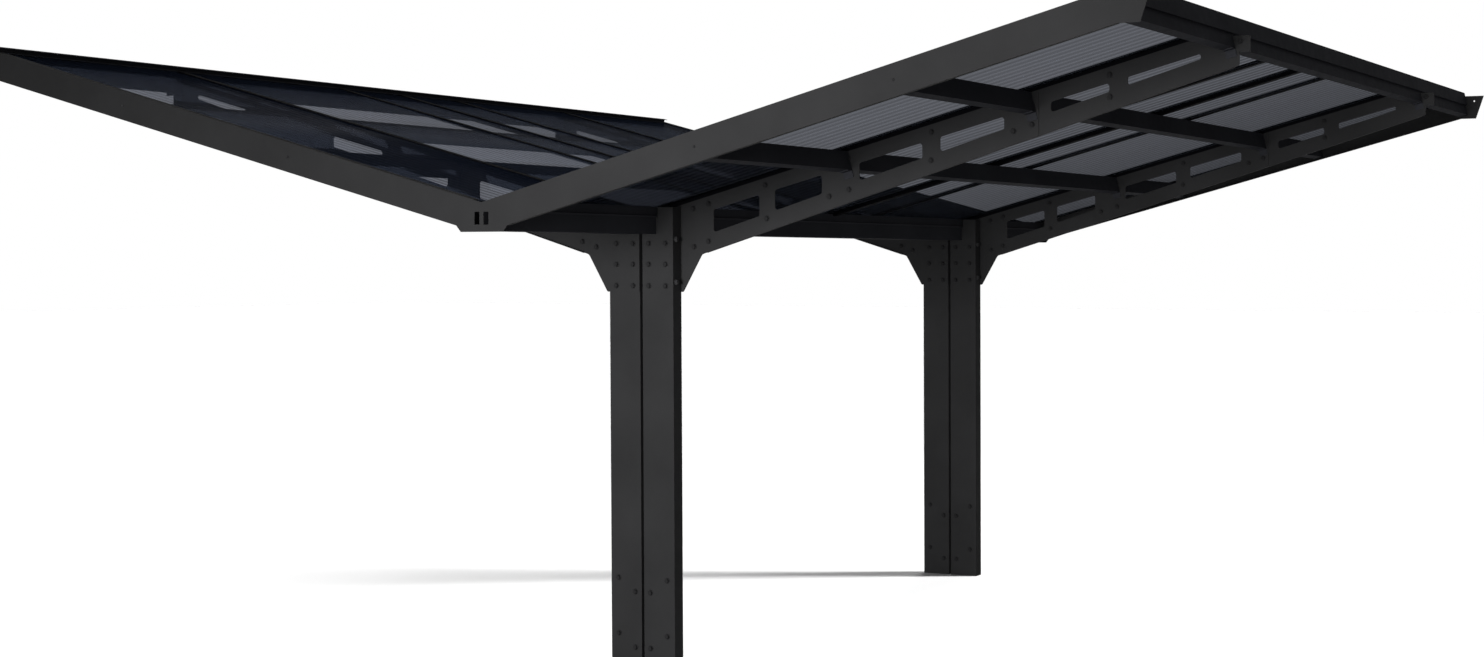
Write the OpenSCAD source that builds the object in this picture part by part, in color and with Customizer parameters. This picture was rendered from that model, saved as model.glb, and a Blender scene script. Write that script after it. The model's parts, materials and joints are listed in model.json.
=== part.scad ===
// Double-wing carport: two cantilevered half roofs that stand back to back over a valley gutter.
// Origin on the ground at the middle, +X across the right wing, +Y along the valley, +Z up.

/* [Roof] */
// Length of the roof along the valley
roof_length = 4950; // [4000:10:6500]
// Reach of each gable from the valley to its tip
wing_reach = 2896; // [2500:1:3400]
// Slope of each wing
roof_pitch = 14.43; // [8:0.01:20]
// Height of the gable's top edge at the valley
valley_height = 2061; // [1850:1:2600]

/* [Gables] */
// Depth of the gable profile, square to the slope
gable_depth = 121; // [117:1:180]
// Thickness of the gable sheet
gable_sheet = 3; // [2:0.5:5]
// Width of the flange over the panel's edge
gable_top_flange = 45; // [30:1:70]
// Width of the ledge under the panel's edge
gable_ledge = 30; // [20:1:60]
// Width of the flange at the bottom edge
gable_bottom_flange = 20; // [10:1:40]
// Half width of the flat bottom at the valley
valley_flat = 105; // [80:1:160]
// Width of the chamfer beside the flat bottom
chamfer_width = 23; // [10:1:40]
// Height of the chamfer beside the flat bottom
chamfer_height = 26; // [10:1:40]
// Length of the gable's tip past its sloping bottom edge
tip_flat = 86; // [50:1:150]
// How far the tip's top corner leans out past its bottom corner
tip_lean = 45; // [10:1:90]
// Length of the level cut on top of the tip
tip_cut = 111; // [60:1:160]
// Diameter of the hole in the tip
tip_hole = 9; // [5:0.5:14]
// Width of the overflow slot in the gable
overflow_w = 25; // [15:1:40]
// Height of the overflow slot in the gable
overflow_h = 51; // [30:1:60]
// Height of the overflow slot above the gutter's floor
overflow_rise = 25; // [10:1:35]

/* [Posts] */
// Distance of the posts' middle plane from the roof's middle
post_offset = 1430; // [1000:5:1900]
// Width of a post across the valley
post_width = 164; // [120:1:220]
// Depth of a post along the valley
post_depth = 60; // [50:1:100]
// Wall of a post
post_wall = 3; // [2:0.5:5]
// Gap between the posts of the two wings
post_gap = 14; // [6:1:30]
// Space between the post's top and the panel above it
post_clear = 5; // [2:1:20]

/* [Feet] */
// Thickness of the foot's base plate
foot_base = 8; // [5:1:14]
// Thickness of the foot's cheek plates
foot_cheek = 5; // [3:0.5:8]
// Height of the foot's cheek plates
foot_height = 430; // [300:5:600]
// Diameter of the anchor holes
anchor_hole = 14; // [10:1:20]
// Distance between the two anchor holes of a foot
anchor_spacing = 90; // [60:1:110]

/* [Gutters] */
// Height of the gutter's floor above the gable's flat bottom
gutter_lift = 4; // [2:1:20]
// Outer width of a gutter
gutter_width = 75; // [60:1:80]
// Sheet of the gutter
gutter_sheet = 3; // [2:0.5:4]
// Depth of the gutter's inner wall
gutter_depth = 93; // [70:1:105]
// Height of the bead above the gutter's floor
gutter_bead_height = 81; // [55:1:95]
// Size of the bead on the gutter's outer wall
gutter_bead = 7; // [4:0.5:8]

/* [Arms] */
// Reach of the arm's web past the last purlin
arm_overhang = 17; // [8:1:30]
// Sheet of the arm
arm_sheet = 4; // [3:0.5:8]
// Depth of the arm's top edge below the gable's top edge
arm_drop = 28; // [24:1:34]
// Depth of the arm's bottom edge below the gable's top edge, at the root
arm_root_depth = 268; // [230:1:320]
// Depth of the arm's bottom edge below the gable's top edge, at the tip
arm_tip_depth = 182; // [160:1:220]
// Distance from the valley to the corner where the gusset begins
gusset_reach = 282; // [240:1:330]
// Depth of the gusset's lowest edge below the gutter's floor
gusset_drop = 258; // [200:1:350]
// Rounding of the gusset's corner
gusset_round = 22; // [10:1:60]
// Rounding of the gusset's lowest corner
gusset_toe_round = 10; // [4:1:14]
// Width of the arm's top flange
arm_top_flange = 40; // [30:1:60]
// Width of the arm's bottom flange
arm_bottom_flange = 16; // [10:1:30]
// Depth of the slots' top edge below the gable's top edge
slot_drop = 91; // [80:1:100]
// Height of the slots' bottom edge above the arm's bottom edge
slot_rise = 76; // [70:1:78]
// Rounding of the slots' corners
slot_round = 12; // [4:1:13]
// Distance of the seam between the inner and outer arm past the middle purlin
seam_offset = 13; // [5:1:30]
// Gap in the seam
seam_gap = 2; // [1:0.5:4]
// Length of the splice plate behind the seam
splice_length = 150; // [100:1:200]
// Length of the tab past the arm's tip
tab_length = 46; // [20:1:60]
// Height of the tab
tab_height = 62; // [40:1:80]

/* [Purlins] */
// Distance from the valley to the first purlin's middle, along the slope
purlin_first = 1037; // [1000:1:1060]
// Width of a purlin
purlin_width = 45; // [30:1:60]
// Depth of a purlin
purlin_depth = 82; // [60:1:88]
// Wall of a purlin
purlin_wall = 2.5; // [1.5:0.5:4]
// Leg of the cleats under the purlins' ends
cleat_leg = 34; // [25:1:40]
// Thickness of the cleats
cleat_sheet = 4; // [2:0.5:6]

/* [Panels] */
// Thickness of the twin-wall panels
panel_thick = 10; // [6:0.5:16]
// Distance from the valley to the panel's lower edge, along the slope
panel_low = 48; // [30:1:60]
// Distance from the middle bar to the panel joints beside it
joint_offset = 440; // [300:5:600]
// Width of the bars under the panels
bar_width = 40; // [30:1:60]
// Width of the panel joints
joint_width = 36; // [24:1:50]
// Thickness of the bars' webs
bar_web = 4; // [3:0.5:6]
// Thickness of the joints' and bars' cover strips
cover_thick = 3; // [2:0.5:5]

/* [Eaves] */
// Height of the eave trim's top above the gable's top edge
eave_rise = 19; // [5:1:30]
// Depth of the eave trim's lower edge below the gable's top edge
eave_drop = 55; // [45:1:70]
// Sheet of the eave trim
eave_sheet = 3; // [2:0.5:5]
// Width of the lip at the eave trim's top
eave_lip = 22; // [10:1:40]
// Width of the flange that lies on the panel
eave_flange = 36; // [20:1:50]
// Space between the purlin's outer face and the eave trim
eave_gap = 10; // [4:1:20]

/* [Hidden] */
$fn = 48;
overrun = 20;
fit_gap = 0.3;
arc_steps = 6;
steel_color = "#36373a";
dark_color = "#1d1e21";
panel_color = "#595b60";
foot_color = "#8b8d90";

// Starts and ends of the slots, as shares of the stretch from the gusset to the first purlin
root_slot_shares = [[0.083, 0.402], [0.508, 0.827]];
// Starts and ends of the slots, as shares of the stretch from the first purlin to the seam
middle_slot_shares = [[0.062, 0.400], [0.493, 0.825]];
// Starts and ends of the slots, as shares of the stretch from the seam to the arm's tip
tip_slot_shares = [[0.063, 0.361], [0.454, 0.814]];
// Height of the tip's hole above the tip's bottom, as a share of the gable's depth
tip_hole_share = 0.83;
// Largest rounding of a slot's corners, as a share of the slot's height
slot_round_share = 0.4;
// Space between the splice plate and the cleat and flange beside it
splice_gap = 4;

half_length = roof_length / 2;
bay_end = half_length - gable_sheet;
post_in = post_gap / 2;
post_out = post_in + post_width;
gutter_out = post_in + gutter_width;
wall_x = gutter_out + fit_gap;
notch_x = gutter_out + gutter_bead + fit_gap * 2;
panel_bottom = cover_thick + panel_thick;
purlin_bottom = arm_drop + purlin_depth;
eave_in = (wing_reach - tip_cut) / cos(roof_pitch);
purlin_last = eave_in - eave_gap - purlin_width / 2;
purlin_middle = (purlin_first + purlin_last) / 2;
purlin_places = [purlin_first, purlin_middle, purlin_last];
panel_high = eave_in - eave_sheet;
bar_low = notch_x + gutter_bead;
front_web = -post_offset + post_depth / 2;
rear_web = post_offset + post_depth / 2;
front_bar = front_web + bar_width / 2;
rear_bar = rear_web + bar_width / 2;
tip_bottom_x = wing_reach - tip_lean;
chamfer_x = valley_flat + chamfer_width;
valley_bottom = slope_z(chamfer_x, gable_depth) - chamfer_height;
gutter_floor = valley_bottom + gutter_lift;
bead_z = gutter_floor + gutter_bead_height;
notch_z = bead_z - (notch_x - wall_x);
gusset_bottom = gutter_floor - gusset_drop;
post_height = slope_z(notch_x, panel_bottom) - post_clear;
arm_reach = slope_x(purlin_last + purlin_width / 2, purlin_bottom) + arm_overhang;
first_reach = slope_x(purlin_first, purlin_bottom);
seam_reach = slope_x(purlin_middle + purlin_width / 2, purlin_bottom) + seam_offset;

// Height of a point at distance x from the valley and depth d below the gable's top edge
function slope_z(x, d) = valley_height + x * tan(roof_pitch) - d / cos(roof_pitch);

// Distance from the valley, across, of a point s along the slope and d below the top edge
function slope_x(s, d) = s * cos(roof_pitch) + d * sin(roof_pitch);

// Depth of the arm's bottom edge at distance x from the valley
function arm_depth(x) =
    arm_root_depth + (arm_tip_depth - arm_root_depth) * (x - gusset_reach) / (arm_reach - gusset_reach);

// Direction of a vector
function unit(v) = v / norm(v);

// Points of a rounded corner at b between the neighbours a and c
function corner(a, b, c, r) =
    r == 0 ? [b] :
    let (
        u = unit(a - b),
        v = unit(c - b),
        half = acos(u * v) / 2,
        centre = b + unit(u + v) * r / sin(half),
        from = b + u * r / tan(half) - centre,
        to = b + v * r / tan(half) - centre,
        start = atan2(from.y, from.x),
        turn = atan2(from.x * to.y - from.y * to.x, from * to)
    )
    [
        for (i = [0:arc_steps])
            let (angle = start + turn * i / arc_steps)
                centre + r * [cos(angle), sin(angle)]
    ];

// Outline with each corner rounded by its own radius
function rounded(points, radii) =
    let (n = len(points))
    [for (i = [0:n - 1]) each corner(points[(i + n - 1) % n], points[i], points[(i + 1) % n], radii[i])];

// Upright plate: an outline in X and Z, extruded along Y from y
module plate(y, thick) {
    translate([0, y + thick, 0])
        rotate([90, 0, 0])
            linear_extrude(thick)
                children();
}

// Wing frame: x runs up the slope, z is square to it, and the gable's top edge is at z = 0
module on_slope() {
    translate([0, 0, valley_height])
        rotate([0, -roof_pitch, 0])
            children();
}

// Outline of a strip along the slope with upright ends, from depth d0 down to depth d1
module slope_strip(x0, x1, d0, d1) {
    polygon([
        [x0, slope_z(x0, d0)],
        [x1, slope_z(x1, d0)],
        [x1, slope_z(x1, d1)],
        [x0, slope_z(x0, d1)]
    ]);
}

// Box on the slope, from depth d0 down to depth d1
module slope_box(s0, s1, y0, y1, d0, d1) {
    on_slope()
        translate([s0, y0, -d1])
            cube([s1 - s0, y1 - y0, d1 - d0]);
}

// The left wing is the right wing turned half a turn about the middle
module left_wing() {
    rotate([0, 0, 180])
        children();
}

// Hollow post, stepped at its top: under the gutter, beside its wall and past its bead
module post(y) {
    steps = [[post_in, gutter_floor], [wall_x, notch_z], [notch_x, post_height]];
    inner_d = post_depth - 2 * post_wall;
    color(steel_color)
        translate([0, y - post_depth / 2, 0])
            difference() {
                for (step = steps)
                    translate([step[0], 0, 0])
                        cube([post_out - step[0], post_depth, step[1]]);
                for (step = steps)
                    translate([step[0] + post_wall, post_wall, -overrun])
                        cube([post_out - step[0] - 2 * post_wall, inner_d, step[1] - post_wall + overrun]);
            }
}

// Foot bracket inside the post: a base plate with two cheeks
module foot(y) {
    foot_w = post_width - 2 * post_wall - 2 * fit_gap;
    foot_d = post_depth - 2 * post_wall - 2 * fit_gap;
    color(foot_color)
        translate([post_in + post_width / 2, y, 0])
            difference() {
                translate([-foot_w / 2, -foot_d / 2, 0])
                    cube([foot_w, foot_d, foot_height]);
                translate([-foot_w / 2 - overrun, -foot_d / 2 + foot_cheek, foot_base])
                    cube([foot_w + 2 * overrun, foot_d - 2 * foot_cheek, foot_height]);
                for (side = [-1, 1])
                    translate([side * anchor_spacing / 2, 0, -overrun])
                        cylinder(d = anchor_hole, h = foot_base + 2 * overrun);
            }
}

module gutter() {
    top_in = slope_z(gutter_out - gutter_sheet, panel_bottom);
    top_out = slope_z(gutter_out, panel_bottom);
    color(dark_color)
        plate(-bay_end, 2 * bay_end)
            polygon([
                [post_in, gutter_floor],
                [gutter_out, gutter_floor],
                [gutter_out, bead_z - gutter_bead],
                [gutter_out + gutter_bead, bead_z],
                [gutter_out, bead_z],
                [gutter_out, top_out],
                [gutter_out - gutter_sheet, top_in],
                [gutter_out - gutter_sheet, gutter_floor + gutter_sheet],
                [post_in + gutter_sheet, gutter_floor + gutter_sheet],
                [post_in + gutter_sheet, gutter_floor + gutter_depth],
                [post_in, gutter_floor + gutter_depth]
            ]);
}

// Outline of the gable sheet, from the valley to the tip
module gable_outline() {
    cut_x = wing_reach - tip_cut;
    bottom_x = tip_bottom_x - tip_flat;
    difference() {
        polygon([
            [0, slope_z(0, 0)],
            [cut_x, slope_z(cut_x, 0)],
            [wing_reach, slope_z(cut_x, 0)],
            [tip_bottom_x, slope_z(bottom_x, gable_depth)],
            [bottom_x, slope_z(bottom_x, gable_depth)],
            [chamfer_x, slope_z(chamfer_x, gable_depth)],
            [valley_flat, valley_bottom],
            [0, valley_bottom]
        ]);
        translate([post_in + gutter_sheet, gutter_floor + overflow_rise])
            square([overflow_w, overflow_h]);
        translate([wing_reach - tip_cut / 2, slope_z(bottom_x, gable_depth) + gable_depth * tip_hole_share])
            circle(d = tip_hole);
    }
}

// Front gable of the right wing: the sheet, its flanges and the ledge under the panel's edge
module gable() {
    top_end = slope_x(panel_high - eave_flange, 0);
    ledge_end = slope_x(panel_high, panel_bottom);
    bottom_end = tip_bottom_x - tip_flat;
    color(steel_color) {
        plate(-half_length, gable_sheet)
            gable_outline();
        plate(-bay_end, gable_top_flange - gable_sheet)
            slope_strip(panel_low, top_end, 0, cover_thick);
        plate(-bay_end, gable_ledge - gable_sheet)
            slope_strip(bar_low, ledge_end, panel_bottom, panel_bottom + gable_sheet);
        plate(-bay_end, gable_bottom_flange - gable_sheet)
            slope_strip(chamfer_x, bottom_end, gable_depth - gable_sheet, gable_depth);
    }
}

// The rear gable mirrors the front one
module rear_gable() {
    mirror([0, 1, 0])
        gable();
}

// Slots of the arm's stretch from start to end, as rounded outlines
module arm_slots(start, end, shares) {
    for (span = shares) {
        x0 = start + span[0] * (end - start);
        x1 = start + span[1] * (end - start);
        r = min(slot_round, slot_round_share * (arm_depth(x1) - slot_rise - slot_drop));
        polygon(rounded([
            [x0, slope_z(x0, slot_drop)],
            [x1, slope_z(x1, slot_drop)],
            [x1, slope_z(x1, arm_depth(x1) - slot_rise)],
            [x0, slope_z(x0, arm_depth(x0) - slot_rise)]
        ], [r, r, r, r]));
    }
}

// Inner arm: root plate on the post, gusset, and the slotted web up to the seam
module inner_arm(web_y) {
    end_x = seam_reach - seam_gap / 2;
    flange_start = post_out + arm_top_flange;
    color(steel_color)
        union() {
            plate(web_y, arm_sheet)
                difference() {
                    polygon(rounded([
                        [post_in, gusset_bottom],
                        [post_out + gusset_toe_round, gusset_bottom],
                        [gusset_reach, slope_z(gusset_reach, arm_depth(gusset_reach))],
                        [end_x, slope_z(end_x, arm_depth(end_x))],
                        [end_x, slope_z(end_x, arm_drop)],
                        [notch_x, slope_z(notch_x, arm_drop)],
                        [notch_x, bead_z],
                        [wall_x, notch_z],
                        [wall_x, gutter_floor],
                        [post_in, gutter_floor]
                    ], [0, gusset_toe_round, gusset_round, 0, 0, 0, 0, 0, 0, 0]));
                    arm_slots(gusset_reach, first_reach, root_slot_shares);
                    arm_slots(first_reach, seam_reach, middle_slot_shares);
                }
            plate(web_y + arm_sheet, arm_top_flange - arm_sheet)
                slope_strip(flange_start, end_x, arm_drop, arm_drop + arm_sheet);
            plate(web_y + arm_sheet, arm_bottom_flange - arm_sheet)
                arm_bottom_strip(gusset_reach + gusset_round, end_x);
        }
}

// Strip just inside the arm's bottom edge, the outline of its bottom flange
module arm_bottom_strip(x0, x1) {
    polygon([
        [x0, slope_z(x0, arm_depth(x0) - fit_gap)],
        [x1, slope_z(x1, arm_depth(x1) - fit_gap)],
        [x1, slope_z(x1, arm_depth(x1) - arm_sheet)],
        [x0, slope_z(x0, arm_depth(x0) - arm_sheet)]
    ]);
}

// Outer arm: the slotted web from the seam to the tip, with the tab that holds the last purlin
module outer_arm(web_y) {
    start_x = seam_reach + seam_gap / 2;
    tab_x = arm_reach + tab_length;
    step_x = slope_x(purlin_last + purlin_width / 2, arm_drop);
    tab_top = eave_drop + arm_sheet;
    tab_bottom = tab_top + tab_height;
    flange_end = slope_x(purlin_last - purlin_width / 2, arm_drop);
    color(steel_color)
        union() {
            plate(web_y, arm_sheet)
                difference() {
                    polygon(rounded([
                        [start_x, slope_z(start_x, arm_depth(start_x))],
                        [arm_reach, slope_z(arm_reach, arm_depth(arm_reach))],
                        [arm_reach, slope_z(step_x, tab_bottom)],
                        [tab_x, slope_z(step_x, tab_bottom)],
                        [tab_x, slope_z(step_x, tab_top)],
                        [step_x, slope_z(step_x, tab_top)],
                        [step_x, slope_z(step_x, arm_drop)],
                        [start_x, slope_z(start_x, arm_drop)]
                    ], [0, slot_round, 0, 0, 0, 0, 0, 0]));
                    arm_slots(seam_reach, arm_reach, tip_slot_shares);
                }
            plate(web_y + arm_sheet, arm_top_flange - arm_sheet)
                slope_strip(start_x, flange_end, arm_drop, arm_drop + arm_sheet);
            plate(web_y + arm_sheet, arm_bottom_flange - arm_sheet)
                arm_bottom_strip(start_x, arm_reach - slot_round * 2);
        }
}

// Splice plates behind the seams of the wing's two arms
module splice_plates() {
    top_depth = purlin_bottom + cleat_leg + splice_gap;
    bottom_depth = arm_depth(seam_reach + splice_length) - arm_sheet - splice_gap;
    middle_s = seam_reach / cos(roof_pitch) - top_depth * tan(roof_pitch);
    color(steel_color)
        for (web_y = [front_web, rear_web])
            slope_box(middle_s - splice_length / 2, middle_s + splice_length / 2,
                web_y + arm_sheet, web_y + 2 * arm_sheet, top_depth, bottom_depth);
}

// Purlin number i: one hollow length in each bay, between the gables and the arms
module purlin(i) {
    s0 = purlin_places[i] - purlin_width / 2;
    s1 = purlin_places[i] + purlin_width / 2;
    bays = [[-bay_end, front_web], [front_web + arm_sheet, rear_web], [rear_web + arm_sheet, bay_end]];
    color(dark_color)
        for (bay = bays)
            difference() {
                slope_box(s0, s1, bay[0], bay[1], arm_drop, purlin_bottom);
                slope_box(s0 + purlin_wall, s1 - purlin_wall, bay[0] - overrun, bay[1] + overrun,
                    arm_drop + purlin_wall, purlin_bottom - purlin_wall);
                for (web_y = [front_web, rear_web])
                    slope_box(s0 - overrun, s1 + overrun, web_y, web_y + arm_top_flange + fit_gap,
                        arm_drop - overrun, arm_drop + arm_sheet + fit_gap);
            }
}

// Cleats under the purlins' ends, on both sides of the wing's two arms
module purlin_cleats() {
    color(dark_color)
        for (place = purlin_places)
            for (web_y = [front_web, rear_web]) {
                cleat(place, web_y, -1);
                cleat(place, web_y + arm_sheet, 1);
            }
}

// Angle cleat with its upright leg against the web at y, on the side given by away
module cleat(place, y, away) {
    s0 = place - purlin_width / 2;
    s1 = place + purlin_width / 2;
    slope_box(s0, s1, min(y, y + away * cleat_leg), max(y, y + away * cleat_leg),
        purlin_bottom, purlin_bottom + cleat_sheet);
    slope_box(s0, s1, min(y, y + away * cleat_sheet), max(y, y + away * cleat_sheet),
        purlin_bottom, purlin_bottom + cleat_leg);
}

// Panel between two bars or gables, from y0 to y1
module panel(y0, y1) {
    color(panel_color)
        slope_box(panel_low, panel_high, y0, y1, cover_thick, panel_bottom);
}

module front_panel() {
    panel(-bay_end, front_bar - bar_web / 2);
}

module middle_panels() {
    edges = [front_bar, -joint_offset, 0, joint_offset, rear_bar];
    for (i = [0:len(edges) - 2])
        panel(edges[i] + bar_web / 2, edges[i + 1] - bar_web / 2);
}

module rear_panel() {
    panel(rear_bar + bar_web / 2, bay_end);
}

// Bars over the arms and across the middle, and the joints between the panels beside the middle
module panel_bars() {
    color(dark_color) {
        for (y = [front_bar, 0, rear_bar])
            panel_bar(y, bar_width, arm_drop - panel_bottom);
        for (y = [-joint_offset, joint_offset])
            panel_bar(y, joint_width, cover_thick);
    }
}

// Bar with a bearer under the panels' edges, a web between them and a cover strip on top
module panel_bar(y, width, bearer) {
    cover_end = panel_high - eave_flange;
    slope_box(bar_low, panel_high, y - width / 2, y + width / 2, panel_bottom, panel_bottom + bearer);
    slope_box(panel_low, panel_high, y - bar_web / 2, y + bar_web / 2, cover_thick, panel_bottom);
    slope_box(panel_low, cover_end, y - width / 2, y + width / 2, 0, cover_thick);
}

// Eave trim: an upright face with a lip on top and a flange that lies on the panels
module eave_trim() {
    color(dark_color) {
        slope_box(eave_in, eave_in + eave_sheet, -bay_end, bay_end, -eave_rise, eave_drop);
        slope_box(eave_in - eave_lip, eave_in, -bay_end, bay_end, -eave_rise, eave_sheet - eave_rise);
        slope_box(panel_high - eave_flange, eave_in, -bay_end, bay_end, 0, cover_thick);
    }
}

module right_front_post() post(-post_offset);
module right_rear_post() post(post_offset);
module left_front_post() left_wing() post(post_offset);
module left_rear_post() left_wing() post(-post_offset);
module right_front_foot() foot(-post_offset);
module right_rear_foot() foot(post_offset);
module left_front_foot() left_wing() foot(post_offset);
module left_rear_foot() left_wing() foot(-post_offset);
module right_front_inner_arm() inner_arm(front_web);
module right_rear_inner_arm() inner_arm(rear_web);
module left_front_inner_arm() left_wing() inner_arm(rear_web);
module left_rear_inner_arm() left_wing() inner_arm(front_web);
module right_front_outer_arm() outer_arm(front_web);
module right_rear_outer_arm() outer_arm(rear_web);
module left_front_outer_arm() left_wing() outer_arm(rear_web);
module left_rear_outer_arm() left_wing() outer_arm(front_web);
module right_splice_plates() splice_plates();
module left_splice_plates() left_wing() splice_plates();
module right_gutter() gutter();
module left_gutter() left_wing() gutter();
module right_front_gable() gable();
module right_rear_gable() rear_gable();
module left_front_gable() left_wing() rear_gable();
module left_rear_gable() left_wing() gable();
module right_inner_purlin() purlin(0);
module right_middle_purlin() purlin(1);
module right_outer_purlin() purlin(2);
module left_inner_purlin() left_wing() purlin(0);
module left_middle_purlin() left_wing() purlin(1);
module left_outer_purlin() left_wing() purlin(2);
module right_purlin_cleats() purlin_cleats();
module left_purlin_cleats() left_wing() purlin_cleats();
module right_front_panel() front_panel();
module right_middle_panels() middle_panels();
module right_rear_panel() rear_panel();
module left_front_panel() left_wing() rear_panel();
module left_middle_panels() left_wing() middle_panels();
module left_rear_panel() left_wing() front_panel();
module right_panel_bars() panel_bars();
module left_panel_bars() left_wing() panel_bars();
module right_eave_trim() eave_trim();
module left_eave_trim() left_wing() eave_trim();

right_front_post();
right_rear_post();
left_front_post();
left_rear_post();
right_front_foot();
right_rear_foot();
left_front_foot();
left_rear_foot();
right_front_inner_arm();
right_rear_inner_arm();
left_front_inner_arm();
left_rear_inner_arm();
right_front_outer_arm();
right_rear_outer_arm();
left_front_outer_arm();
left_rear_outer_arm();
right_splice_plates();
left_splice_plates();
right_gutter();
left_gutter();
right_front_gable();
right_rear_gable();
left_front_gable();
left_rear_gable();
right_inner_purlin();
right_middle_purlin();
right_outer_purlin();
left_inner_purlin();
left_middle_purlin();
left_outer_purlin();
right_purlin_cleats();
left_purlin_cleats();
right_front_panel();
right_middle_panels();
right_rear_panel();
left_front_panel();
left_middle_panels();
left_rear_panel();
right_panel_bars();
left_panel_bars();
right_eave_trim();
left_eave_trim();
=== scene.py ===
"""Looks of the double-wing carport: paint, fluted roof panels and fasteners on the CAD frame.

Lengths are in metres, in the CAD frame: +X across the right wing, +Y along the valley, +Z up.
The left wing is the right wing turned half a turn about Z.
"""

import json
import math

import bmesh
import bpy
from mathutils import Matrix, Vector


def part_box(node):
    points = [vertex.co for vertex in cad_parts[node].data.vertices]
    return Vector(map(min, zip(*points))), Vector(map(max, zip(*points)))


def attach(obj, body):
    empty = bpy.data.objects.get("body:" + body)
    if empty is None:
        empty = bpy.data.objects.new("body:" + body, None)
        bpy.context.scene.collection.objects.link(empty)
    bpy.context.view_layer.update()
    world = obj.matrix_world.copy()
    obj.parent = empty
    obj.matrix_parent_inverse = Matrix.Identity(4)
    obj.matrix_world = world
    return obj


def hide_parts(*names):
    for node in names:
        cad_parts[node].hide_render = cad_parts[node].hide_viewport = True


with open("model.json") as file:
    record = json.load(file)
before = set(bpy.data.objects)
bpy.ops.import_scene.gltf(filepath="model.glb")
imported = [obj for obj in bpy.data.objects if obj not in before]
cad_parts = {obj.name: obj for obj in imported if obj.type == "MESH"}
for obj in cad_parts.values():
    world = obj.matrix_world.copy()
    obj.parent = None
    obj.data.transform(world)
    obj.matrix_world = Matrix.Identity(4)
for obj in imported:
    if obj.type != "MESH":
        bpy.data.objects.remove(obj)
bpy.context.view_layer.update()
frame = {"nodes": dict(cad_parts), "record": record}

WINGS = {"right": Matrix.Identity(4), "left": Matrix.Rotation(math.pi, 4, "Z")}
FRONT, BACK, OUTWARD = (0, -1, 0), (0, 1, 0), (1, 0, 0)

# Wing geometry, as the CAD frame has it. The arm's ends are X and depth below the gable's top edge.
ROOF_PITCH = math.radians(14.43)
VALLEY_HEIGHT = 2.061
ARM_SHEET = 0.004
ARM_ROOT = (0.282, 0.268)
ARM_TIP = (2.820, 0.182)
BAR_PLACES = (-1.380, -0.440, 0.0, 0.440, 1.480)
BAR_WEB = 0.004
PANEL_TOP = 0.003
PANEL_BOTTOM = 0.013

# Flutes of the roof panels, which run up the slope
FLUTE_PITCH = 0.060
FLUTE_DEPTH = 0.0010
FLUTE_STEPS = 6
SHEET_FACES = (0, 2)  # sides of a sheet's outline that are its top and bottom

# Heads of the fasteners. Their rings are shares of the height, and a screw's also of its radius.
HEAD_SIDES = 12
BOLT_FLATS = 0.019
BOLT_FLANGE = 0.0135
BOLT_HEIGHT = 0.010
BOLT_FLANGE_TOP = 0.15
BOLT_HEX_BOTTOM = 0.30
BOLT_HEX_TOP = 0.88
BOLT_CROWN = 0.88  # of half the width across flats
SCREW_RADIUS = 0.006
SCREW_HEIGHT = 0.003
SCREW_RINGS = ((0.0, 1.0), (0.4, 1.0), (0.85, 0.75), (1.0, 0.4))

# Places of the fasteners on the right wing: X and Z on the posts and at the arm's root,
# X and depth below the gable's top edge elsewhere
POST_COLUMNS = (0.041, 0.131)
POST_TOP_ROWS = (1.716, 1.812, 1.905)
FOOT_BOLTS = ((0.041, 0.094), (0.041, 0.344), (0.131, 0.153), (0.131, 0.403))
POST_SIDE_ROWS = (1.733, 1.923)
POST_SIDE_INSET = 0.022
ROOT_BOLTS = ((0.240, 1.890), (0.317, 1.914))
WEB_TOP_PLACES = (0.236, 0.318, 0.615, 1.034, 1.440, 1.850, 2.260)
WEB_TOP_DEPTH = 0.060
WEB_LOW_PLACES = (0.622, 0.939, 1.037, 1.437, 1.825, 1.910, 2.262)
WEB_LOW_RISE = 0.054  # above the arm's bottom edge
TAB_BOLTS = ((2.784, 0.078), (2.823, 0.089))
SCREW_DEPTH = 0.060
INNER_SCREW = 1.015
FRONT_SCREW = 1.880
REAR_SCREW = 1.960

# Ranges and noises of the finishes. A noise has a scale, a detail and a stretch along X, Y and Z.
UNIT = (0.0, 1.0)
NOISE_MIDDLE = (0.3, 0.7)
EVEN = (1.0, 1.0, 1.0)
COAT_MOTTLE = (3.0, 4.0, EVEN)
COAT_SHEEN = (26.0, 3.0, EVEN)
COAT_PEEL = (380.0, 2.0, EVEN)
SHEET_STREAK = (1.0, 3.0, (0.25, 26.0, 0.25))
SHEET_CLOUD = (2.0, 3.0, (1.0, 8.0, 1.0))
SHEET_GRAIN = (120.0, 2.0, (1.0, 6.0, 1.0))
ZINC_CLOUD = (14.0, 3.0, EVEN)

# Powder coats. A bump has a height and a strength.
PAINT = (0.034, 0.034, 0.035)
# Painted light: the dark_frame parts get a copy of the frame paint that is a little lighter and
# bluer, to lift them where they sit in shade under the roof, and it has less shine.
FRAME_PAINT_SHADE_LIFT = (0.037, 0.038, 0.044)
BAR_BLACK = (0.004, 0.004, 0.005)
BOLT_BLACK = (0.024, 0.024, 0.025)
ZINC_GREY = (0.048, 0.048, 0.050)
COAT_DARKER = 0.88
COAT_LIGHTER = 1.12
COAT_SMOOTHER = 0.05
COAT_ROUGHER = 0.07
COAT_BUMP = (0.0005, 0.22)
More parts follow.
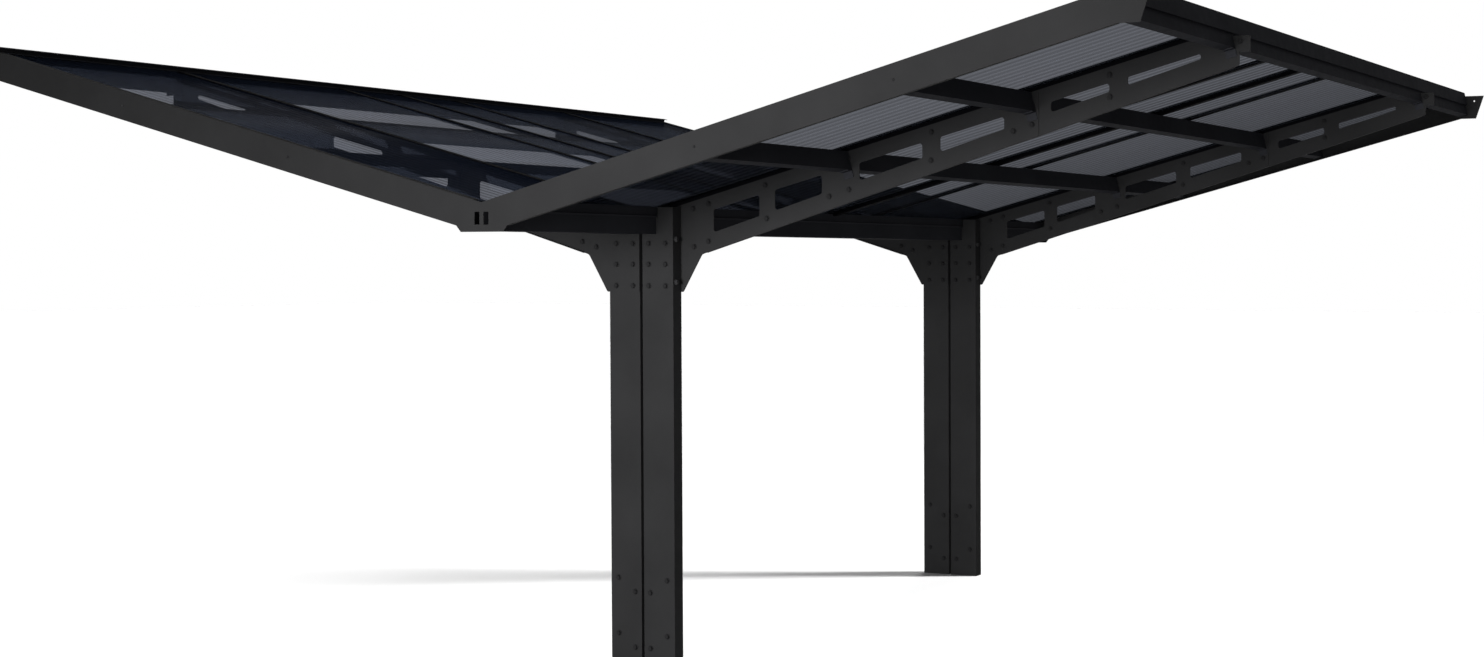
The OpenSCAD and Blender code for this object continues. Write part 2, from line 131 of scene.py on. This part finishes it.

# Polycarbonate sheets. Each side has the colours of its clear and its smoky lines: the underside's
# darker copy is painted shade, the top's lighter, bluer copy painted light.
UNDERSIDE_PAINTED_SHADE = ((0.060, 0.066, 0.080), (0.004, 0.005, 0.008))
TOP_PAINTED_LIGHT = ((0.044, 0.060, 0.104), (0.018, 0.025, 0.046))
SKIN_HAZE = (0.02, 0.32)  # of the faces pointing down and of those pointing up
WAVE_PERIOD = math.pi / 10.0  # of Blender's wave texture at a scale of 1
RIB_SHARE = 0.6
SHEET_TINT = (0.92, 0.94, 1.0, 1.0)
SHEET_DENSITY = (0.610, 0.715)
# Painted shade: over this span of Y the sheets grow denser towards the rear, so the far bays look
# darker.
REAR_PLACES = (-1.5, 2.4)
REAR_PAINTED_SHADE = (0.0, 0.12)
SHEET_ROUGHNESS = (0.07, 0.12)
SHEET_BUMP = (0.0004, 0.15)
SHEET_IOR = 1.05

# Galvanized feet
SPANGLE_SCALE = 90.0
SPANGLE_GREYS = ((0.30, 0.31, 0.32), (0.44, 0.45, 0.46))
ZINC_ROUGHNESS = (0.38, 0.55)
ZINC_METALLIC = 0.8

# Light and floor
WHITE = (1.0, 1.0, 1.0, 1.0)
AMBIENT = 0.14
GLOSSY_SHARE = 0.08
KEY_PLACE = (1.4, -13.0, 2.13)
KEY_AIM = (1.5, 0.0, 1.7)
KEY_POWER = 131.0
FILL_PLACE = (-2.0, 13.0, 3.4)
FILL_AIM = (0.0, 0.0, 1.7)
FILL_POWER = 66.0
SOFT_SIZE = (5.6, 3.6)
SOFT_SPREAD = math.radians(45.0)
STREAK_DIRECTION = (-0.790, -0.350, -0.500)
STREAK_SOFTNESS = math.radians(11.0)
STREAK_STRENGTH = 7.0
FLOOR_SIZE = 60.0
FLOOR_GLOW = 0.01
FLOOR_PALE = (0.8, 0.8, 0.8, 1.0)
FLOOR_DIM = (0.15, 0.15, 0.15, 1.0)

# Photograph's camera
CAMERA_PLACE = (5.5014, -8.7129, 1.8271)
CAMERA_YAW = 0.3850
CAMERA_DIP = 0.0206
CAMERA_SENSOR = 36.0
CAMERA_LENS = 47.757
CAMERA_SHIFT = (-0.2906, -0.0182)
CAMERA_REACH = 200.0


def wing_point(s, y, depth):
    """Point of the right wing, s up the slope and depth below the gable's top edge."""
    x = s * math.cos(ROOF_PITCH) + depth * math.sin(ROOF_PITCH)
    z = VALLEY_HEIGHT + s * math.sin(ROOF_PITCH) - depth * math.cos(ROOF_PITCH)
    return Vector((x, y, z))


def slope_height(x, depth):
    """Height of a point at x across the wing and depth below the gable's top edge."""
    return VALLEY_HEIGHT + x * math.tan(ROOF_PITCH) - depth / math.cos(ROOF_PITCH)


def arm_depth(x):
    """Depth of the arm's bottom edge below the gable's top edge."""
    share = (x - ARM_ROOT[0]) / (ARM_TIP[0] - ARM_ROOT[0])
    return ARM_ROOT[1] + (ARM_TIP[1] - ARM_ROOT[1]) * share


# Shading


def new_material(name):
    """Material, its node tree and its Principled shader."""
    material = bpy.data.materials.new(name)
    material.use_nodes = True
    tree = material.node_tree
    return material, tree, tree.nodes["Principled BSDF"]


def object_place(tree):
    """Place on the surface, in the object's frame."""
    return tree.nodes.new("ShaderNodeTexCoord").outputs["Object"]


def along(tree, vector, axis):
    """Part of a vector along X, Y or Z."""
    parts = tree.nodes.new("ShaderNodeSeparateXYZ")
    tree.links.new(vector, parts.inputs["Vector"])
    return parts.outputs[axis]


def noise(tree, scale, detail, stretch):
    """Noise texture in the object's frame."""
    mapping = tree.nodes.new("ShaderNodeMapping")
    mapping.inputs["Scale"].default_value = stretch
    tree.links.new(object_place(tree), mapping.inputs["Vector"])
    texture = tree.nodes.new("ShaderNodeTexNoise")
    texture.inputs["Scale"].default_value = scale
    texture.inputs["Detail"].default_value = detail
    tree.links.new(mapping.outputs["Vector"], texture.inputs["Vector"])
    return texture.outputs["Fac"]


def remap(tree, value, source, target):
    """Value carried from the source range to the target range, and held at its ends."""
    node = tree.nodes.new("ShaderNodeMapRange")
    node.inputs["From Min"].default_value, node.inputs["From Max"].default_value = source
    node.inputs["To Min"].default_value, node.inputs["To Max"].default_value = target
    tree.links.new(value, node.inputs["Value"])
    return node.outputs["Result"]


def combine(tree, operation, first, second):
    """Result of a math operation on two values."""
    node = tree.nodes.new("ShaderNodeMath")
    node.operation = operation
    tree.links.new(first, node.inputs[0])
    tree.links.new(second, node.inputs[1])
    return node.outputs["Value"]


def tint(tree, value, first, last):
    """Colour from first to last, over the middle of value's range."""
    node = tree.nodes.new("ShaderNodeValToRGB")
    for element, position, colour in zip(node.color_ramp.elements, NOISE_MIDDLE, (first, last)):
        element.position = position
        element.color = (*colour, 1.0)
    tree.links.new(value, node.inputs["Fac"])
    return node.outputs["Color"]


def bump(tree, shader, height, distance, strength):
    """Bump of the shader's surface by height."""
    node = tree.nodes.new("ShaderNodeBump")
    node.inputs["Distance"].default_value = distance
    node.inputs["Strength"].default_value = strength
    tree.links.new(height, node.inputs["Height"])
    tree.links.new(node.outputs["Normal"], shader.inputs["Normal"])


def powder_coat(name, colour, roughness, shine):
    """Powder coat: soft mottling, uneven roughness and a fine orange peel."""
    material, tree, shader = new_material(name)
    dark = [c * COAT_DARKER for c in colour]
    light = [c * COAT_LIGHTER for c in colour]
    mottle = tint(tree, noise(tree, *COAT_MOTTLE), dark, light)
    tree.links.new(mottle, shader.inputs["Base Color"])
    span = (roughness - COAT_SMOOTHER, roughness + COAT_ROUGHER)
    sheen = remap(tree, noise(tree, *COAT_SHEEN), NOISE_MIDDLE, span)
    tree.links.new(sheen, shader.inputs["Roughness"])
    bump(tree, shader, noise(tree, *COAT_PEEL), *COAT_BUMP)
    shader.inputs["Specular IOR Level"].default_value = shine
    return material


def smoky_lines(tree):
    """Streaks and ribs along the flutes: low on a clear line, high on a smoky one."""
    ribs = tree.nodes.new("ShaderNodeTexWave")
    ribs.bands_direction = "Y"
    ribs.inputs["Scale"].default_value = WAVE_PERIOD / FLUTE_PITCH
    tree.links.new(object_place(tree), ribs.inputs["Vector"])
    mix = tree.nodes.new("ShaderNodeMix")
    mix.inputs["Factor"].default_value = RIB_SHARE
    tree.links.new(noise(tree, *SHEET_STREAK), mix.inputs["A"])
    tree.links.new(ribs.outputs["Fac"], mix.inputs["B"])
    return mix.outputs["Result"]


def polycarbonate(name):
    """Smoky fluted sheet that lets some light straight through, with painted shade that lets less
    of it through towards the rear.

    Faces pointing down get the darker underside colours, painted shade, and faces pointing up the
    bluer top colours, painted light; the top also hazes what shows through it.
    """
    material, tree, shader = new_material(name)
    smoke = smoky_lines(tree)
    # Painted light and shade: the upward part of the face's normal picks the top's lighter colours
    # or the underside's darker ones.
    upward = along(tree, tree.nodes.new("ShaderNodeNewGeometry").outputs["True Normal"], "Z")
    side_light_and_shade = tree.nodes.new("ShaderNodeMix")
    side_light_and_shade.data_type = "RGBA"
    tree.links.new(upward, side_light_and_shade.inputs["Factor"])
    tree.links.new(tint(tree, smoke, *UNDERSIDE_PAINTED_SHADE), side_light_and_shade.inputs["A"])
    tree.links.new(tint(tree, smoke, *TOP_PAINTED_LIGHT), side_light_and_shade.inputs["B"])
    tree.links.new(side_light_and_shade.outputs["Result"], shader.inputs["Base Color"])
    haze = remap(tree, upward, UNIT, SKIN_HAZE)
    tree.links.new(haze, shader.inputs["Transmission Weight"])
    cloud = remap(tree, noise(tree, *SHEET_CLOUD), NOISE_MIDDLE, SHEET_ROUGHNESS)
    tree.links.new(cloud, shader.inputs["Roughness"])
    bump(tree, shader, noise(tree, *SHEET_GRAIN), *SHEET_BUMP)
    shader.inputs["IOR"].default_value = SHEET_IOR
    shader.inputs["Specular IOR Level"].default_value = 0.0

    clear = tree.nodes.new("ShaderNodeBsdfTransparent")
    clear.inputs["Color"].default_value = SHEET_TINT
    # Painted shade: the sheet lets less light through towards the rear.
    rear = remap(tree, along(tree, object_place(tree), "Y"), REAR_PLACES, REAR_PAINTED_SHADE)
    smoke_and_rear_shade = combine(tree, "ADD", remap(tree, smoke, NOISE_MIDDLE, SHEET_DENSITY), rear)
    sheet = tree.nodes.new("ShaderNodeMixShader")
    tree.links.new(smoke_and_rear_shade, sheet.inputs["Fac"])
    tree.links.new(clear.outputs["BSDF"], sheet.inputs[1])
    tree.links.new(shader.outputs["BSDF"], sheet.inputs[2])
    tree.links.new(sheet.outputs["Shader"], tree.nodes["Material Output"].inputs["Surface"])
    return material


def galvanized(name):
    """Galvanized steel with its spangle."""
    material, tree, shader = new_material(name)
    spangle = tree.nodes.new("ShaderNodeTexVoronoi")
    spangle.inputs["Scale"].default_value = SPANGLE_SCALE
    tree.links.new(object_place(tree), spangle.inputs["Vector"])
    grey = tint(tree, spangle.outputs["Distance"], *SPANGLE_GREYS)
    tree.links.new(grey, shader.inputs["Base Color"])
    cloud = remap(tree, noise(tree, *ZINC_CLOUD), NOISE_MIDDLE, ZINC_ROUGHNESS)
    tree.links.new(cloud, shader.inputs["Roughness"])
    shader.inputs["Metallic"].default_value = ZINC_METALLIC
    return material


finishes = {
    "frame": powder_coat("frame_powder_coat", PAINT, roughness=0.58, shine=0.12),
    # Painted light: a lighter copy of the frame paint for the dark_frame parts in shade.
    "dark_frame": powder_coat("frame_coat_shade_lift", FRAME_PAINT_SHADE_LIFT, roughness=0.55, shine=0.02),
    "panel": polycarbonate("smoky_polycarbonate"),
    "foot": galvanized("galvanized_steel"),
    "bar": powder_coat("black_glazing_bar", BAR_BLACK, roughness=0.50, shine=0.02),
    "bolt": powder_coat("black_fastener", BOLT_BLACK, roughness=0.42, shine=0.12),
    "zinc": powder_coat("dull_zinc_fastener", ZINC_GREY, roughness=0.45, shine=0.20),
}


def dress_frame():
    """Gives the panel bars their black, and each other CAD node the finish of its material slot."""
    slot_of = {part["node"]: part["material_slot"] for part in frame["record"]["subparts"]}
    for name, node in frame["nodes"].items():
        node.data.materials.clear()
        finish = "bar" if name.endswith("panel_bars") else slot_of[name]
        node.data.materials.append(finishes[finish])


# Pieces


def add_mesh(name, bm, material):
    """Puts a shape into the scene, with its material."""
    mesh = bpy.data.meshes.new(name)
    bm.to_mesh(mesh)
    bm.free()
    mesh.materials.append(material)
    shape = bpy.data.objects.new(name, mesh)
    bpy.context.scene.collection.objects.link(shape)
    return shape


def add_piece(name, bm, finish, wing):
    """Turns a right-wing shape into a piece of the wing."""
    bm.transform(WINGS[wing])
    bmesh.ops.recalc_face_normals(bm, faces=bm.faces)
    piece = add_mesh(name, bm, finishes[finish])
    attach(piece, "root")
    return piece


def loft(bm, outlines, smooth=()):
    """Closed shape through outlines of equal point counts. Sides listed in smooth are smooth."""
    loops = [[bm.verts.new(point) for point in outline] for outline in outlines]
    for a, b in zip(loops, loops[1:]):
        for i in range(len(a)):
            j = (i + 1) % len(a)
            face = bm.faces.new((a[i], a[j], b[j], b[i]))
            face.smooth = i in smooth
    bm.faces.new(loops[0][::-1])
    bm.faces.new(loops[-1])


def fluted_sheet(bm, y0, y1, s0, s1):
    """Closed sheet between y0 and y1, with shallow flutes up the slope on both faces."""
    steps = round((y1 - y0) / FLUTE_PITCH) * FLUTE_STEPS
    outlines = []
    for i in range(steps + 1):
        y = y0 + (y1 - y0) * i / steps
        dip = FLUTE_DEPTH * (1 - math.cos(math.tau * i / FLUTE_STEPS)) / 2
        top, bottom = PANEL_TOP + dip, PANEL_BOTTOM - dip
        corners = ((s0, top), (s1, top), (s1, bottom), (s0, bottom))
        outlines.append([wing_point(s, y, depth) for s, depth in corners])
    loft(bm, outlines, SHEET_FACES)


def add_panels(wing):
    """Fluted panels that stand for the wing's plain ones."""
    low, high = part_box("right_front_panel")
    s0 = (low.x - PANEL_TOP * math.sin(ROOF_PITCH)) / math.cos(ROOF_PITCH)
    s1 = (high.x - PANEL_BOTTOM * math.sin(ROOF_PITCH)) / math.cos(ROOF_PITCH)
    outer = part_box("right_rear_panel")[1].y
    first, last = ("front", "rear") if wing == "right" else ("rear", "front")
    groups = {
        f"{first}_panel": [(low.y, BAR_PLACES[0])],
        "middle_panels": zip(BAR_PLACES, BAR_PLACES[1:]),
        f"{last}_panel": [(BAR_PLACES[-1], outer)],
    }
    for part, spans in groups.items():
        bm = bmesh.new()
        for y0, y1 in spans:
            inset0 = BAR_WEB / 2 if y0 in BAR_PLACES else 0.0
            inset1 = BAR_WEB / 2 if y1 in BAR_PLACES else 0.0
            fluted_sheet(bm, y0 + inset0, y1 - inset1, s0, s1)
        piece = add_piece(f"{wing}_{part}_fluted", bm, "panel", wing)
        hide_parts(f"{wing}_{part}")


def turned(bm, place, axis, rings):
    """Head seated at place, of rings with a height along axis and a radius for each point."""
    turn = Vector(axis).to_track_quat("Z", "Y").to_matrix().to_4x4()
    matrix = Matrix.Translation(place) @ turn
    angles = [math.tau * i / HEAD_SIDES for i in range(HEAD_SIDES)]
    outlines = []
    for height, radii in rings:
        outlines.append([
            matrix @ Vector((radius * math.cos(angle), radius * math.sin(angle), height))
            for radius, angle in zip(radii, angles)
        ])
    loft(bm, outlines)


def hex_bolt(bm, place, axis):
    """Hexagon head with a flange."""
    flat = BOLT_FLATS / 2
    corner = flat / math.cos(math.pi / 6)
    hexagon = [corner, flat] * (HEAD_SIDES // 2)
    flange = [BOLT_FLANGE] * HEAD_SIDES
    turned(bm, place, axis, [
        (0.0, flange),
        (BOLT_HEIGHT * BOLT_FLANGE_TOP, flange),
        (BOLT_HEIGHT * BOLT_HEX_BOTTOM, hexagon),
        (BOLT_HEIGHT * BOLT_HEX_TOP, hexagon),
        (BOLT_HEIGHT, [flat * BOLT_CROWN] * HEAD_SIDES),
    ])


def pan_screw(bm, place, axis):
    """Low round head."""
    turned(bm, place, axis, [
        (SCREW_HEIGHT * rise, [SCREW_RADIUS * width] * HEAD_SIDES) for rise, width in SCREW_RINGS
    ])


def add_bolts(wing):
    """Black bolts of the wing's posts and arms, and black screws of its gables."""
    bm = bmesh.new()
    for end in ("front", "rear"):
        post_low, post_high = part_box(f"right_{end}_post")
        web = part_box(f"right_{end}_inner_arm")[0].y
        web_back = web + ARM_SHEET
        for x in POST_COLUMNS:
            for z in POST_TOP_ROWS:
                hex_bolt(bm, (x, post_low.y, z), FRONT)
                hex_bolt(bm, (x, web_back, z), BACK)
        for x, z in FOOT_BOLTS:
            hex_bolt(bm, (x, post_low.y, z), FRONT)
            hex_bolt(bm, (x, post_high.y, z), BACK)
        places = list(ROOT_BOLTS)
        places += [(x, slope_height(x, WEB_TOP_DEPTH)) for x in WEB_TOP_PLACES]
        places += [(x, slope_height(x, arm_depth(x) - WEB_LOW_RISE)) for x in WEB_LOW_PLACES]
        places += [(x, slope_height(x, depth)) for x, depth in TAB_BOLTS]
        for x, z in places:
            hex_bolt(bm, (x, web, z), FRONT)
            hex_bolt(bm, (x, web_back, z), BACK)
        gable_low, gable_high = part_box(f"right_{end}_gable")
        face, out = (gable_low.y, FRONT) if end == "front" else (gable_high.y, BACK)
        for x in (INNER_SCREW, FRONT_SCREW) if end == "front" else (INNER_SCREW,):
            pan_screw(bm, (x, face, slope_height(x, SCREW_DEPTH)), out)
    add_piece(f"{wing}_bolts", bm, "bolt", wing)


def add_zinc_bolts(wing):
    """Dull zinc bolts on the posts' outer sides, and the zinc screw of the rear gable."""
    bm = bmesh.new()
    for end in ("front", "rear"):
        post_low, post_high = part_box(f"right_{end}_post")
        for z in POST_SIDE_ROWS:
            hex_bolt(bm, (post_high.x, post_low.y + POST_SIDE_INSET, z), OUTWARD)
    gable_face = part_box("right_rear_gable")[1].y
    pan_screw(bm, (REAR_SCREW, gable_face, slope_height(REAR_SCREW, SCREW_DEPTH)), BACK)
    add_piece(f"{wing}_zinc_bolts", bm, "zinc", wing)


# Stage


def background_share(tree):
    """How much of the white background a ray sees: all of it from the camera and through glass.

    Glossy rays see a small share of it, so that the dark paint stays dark.
    """
    path = tree.nodes.new("ShaderNodeLightPath")
    share = remap(tree, path.outputs["Is Glossy Ray"], UNIT, (0.0, GLOSSY_SHARE))
    for ray in ("Is Camera Ray", "Is Transmission Ray"):
        share = combine(tree, "MAXIMUM", path.outputs[ray], share)
    return share


def add_world():
    """White background over a soft, dimmer light from all around."""
    world = bpy.data.worlds.new("studio")
    bpy.context.scene.world = world
    world.use_nodes = True
    tree = world.node_tree
    background = tree.nodes["Background"]
    background.inputs["Color"].default_value = WHITE
    level = remap(tree, background_share(tree), UNIT, (AMBIENT, 1.0))
    tree.links.new(level, background.inputs["Strength"])


def add_floor():
    """Pale floor that glows for the camera and takes the posts' streaks."""
    material, tree, shader = new_material("pale_floor")
    tree.nodes.remove(shader)
    share = background_share(tree)
    pale = tree.nodes.new("ShaderNodeMix")
    pale.data_type = "RGBA"
    tree.links.new(share, pale.inputs["Factor"])
    pale.inputs["A"].default_value = FLOOR_DIM
    pale.inputs["B"].default_value = FLOOR_PALE
    diffuse = tree.nodes.new("ShaderNodeBsdfDiffuse")
    tree.links.new(pale.outputs["Result"], diffuse.inputs["Color"])
    glow = tree.nodes.new("ShaderNodeEmission")
    tree.links.new(remap(tree, share, UNIT, (0.0, FLOOR_GLOW)), glow.inputs["Strength"])
    both = tree.nodes.new("ShaderNodeAddShader")
    tree.links.new(diffuse.outputs["BSDF"], both.inputs[0])
    tree.links.new(glow.outputs["Emission"], both.inputs[1])
    tree.links.new(both.outputs["Shader"], tree.nodes["Material Output"].inputs["Surface"])
    bm = bmesh.new()
    bmesh.ops.create_grid(bm, x_segments=1, y_segments=1, size=FLOOR_SIZE)
    floor = add_mesh("floor", bm, material)
    return floor


def add_lamp(name, light, direction):
    """Puts a light into the scene, shining in a direction."""
    lamp = bpy.data.objects.new(name, light)
    lamp.rotation_euler = Vector(direction).to_track_quat("-Z", "Y").to_euler()
    bpy.context.scene.collection.objects.link(lamp)
    return lamp


def add_soft_light(name, place, aim, power):
    """Large soft light that neither gloss nor glass shows."""
    light = bpy.data.lights.new(name, "AREA")
    light.shape = "RECTANGLE"
    light.size, light.size_y = SOFT_SIZE
    light.energy = power
    light.spread = SOFT_SPREAD
    lamp = add_lamp(name, light, Vector(aim) - Vector(place))
    lamp.location = place
    lamp.visible_camera = False
    lamp.visible_glossy = False
    lamp.visible_transmission = False


def add_streak_light(floor):
    """Soft sun that only the floor receives and only the posts block, for their faint streaks."""
    light = bpy.data.lights.new("low_sun", "SUN")
    light.energy = STREAK_STRENGTH
    light.angle = STREAK_SOFTNESS
    lamp = add_lamp("low_sun", light, STREAK_DIRECTION)
    receivers = bpy.data.collections.new("streak_receivers")
    receivers.objects.link(floor)
    lamp.light_linking.receiver_collection = receivers
    blockers = bpy.data.collections.new("streak_blockers")
    for name, node in frame["nodes"].items():
        if name.endswith("_post"):
            blockers.objects.link(node)
    lamp.light_linking.blocker_collection = blockers


def add_camera():
    """Camera at the photograph's place."""
    data = bpy.data.cameras.new("camera")
    data.sensor_fit = "HORIZONTAL"
    data.sensor_width = CAMERA_SENSOR
    data.lens = CAMERA_LENS
    data.shift_x, data.shift_y = CAMERA_SHIFT
    data.clip_end = CAMERA_REACH
    camera = bpy.data.objects.new("camera", data)
    camera.location = CAMERA_PLACE
    camera.rotation_euler = (math.pi / 2 - CAMERA_DIP, 0.0, CAMERA_YAW)
    bpy.context.scene.collection.objects.link(camera)
    bpy.context.scene.camera = camera


dress_frame()
for side in WINGS:
    add_panels(side)
    add_bolts(side)
    add_zinc_bolts(side)
add_world()
add_soft_light("key", KEY_PLACE, KEY_AIM, KEY_POWER)
add_soft_light("rear_fill", FILL_PLACE, FILL_AIM, FILL_POWER)
add_streak_light(add_floor())
add_camera()
bpy.context.scene.view_settings.view_transform = "Standard"
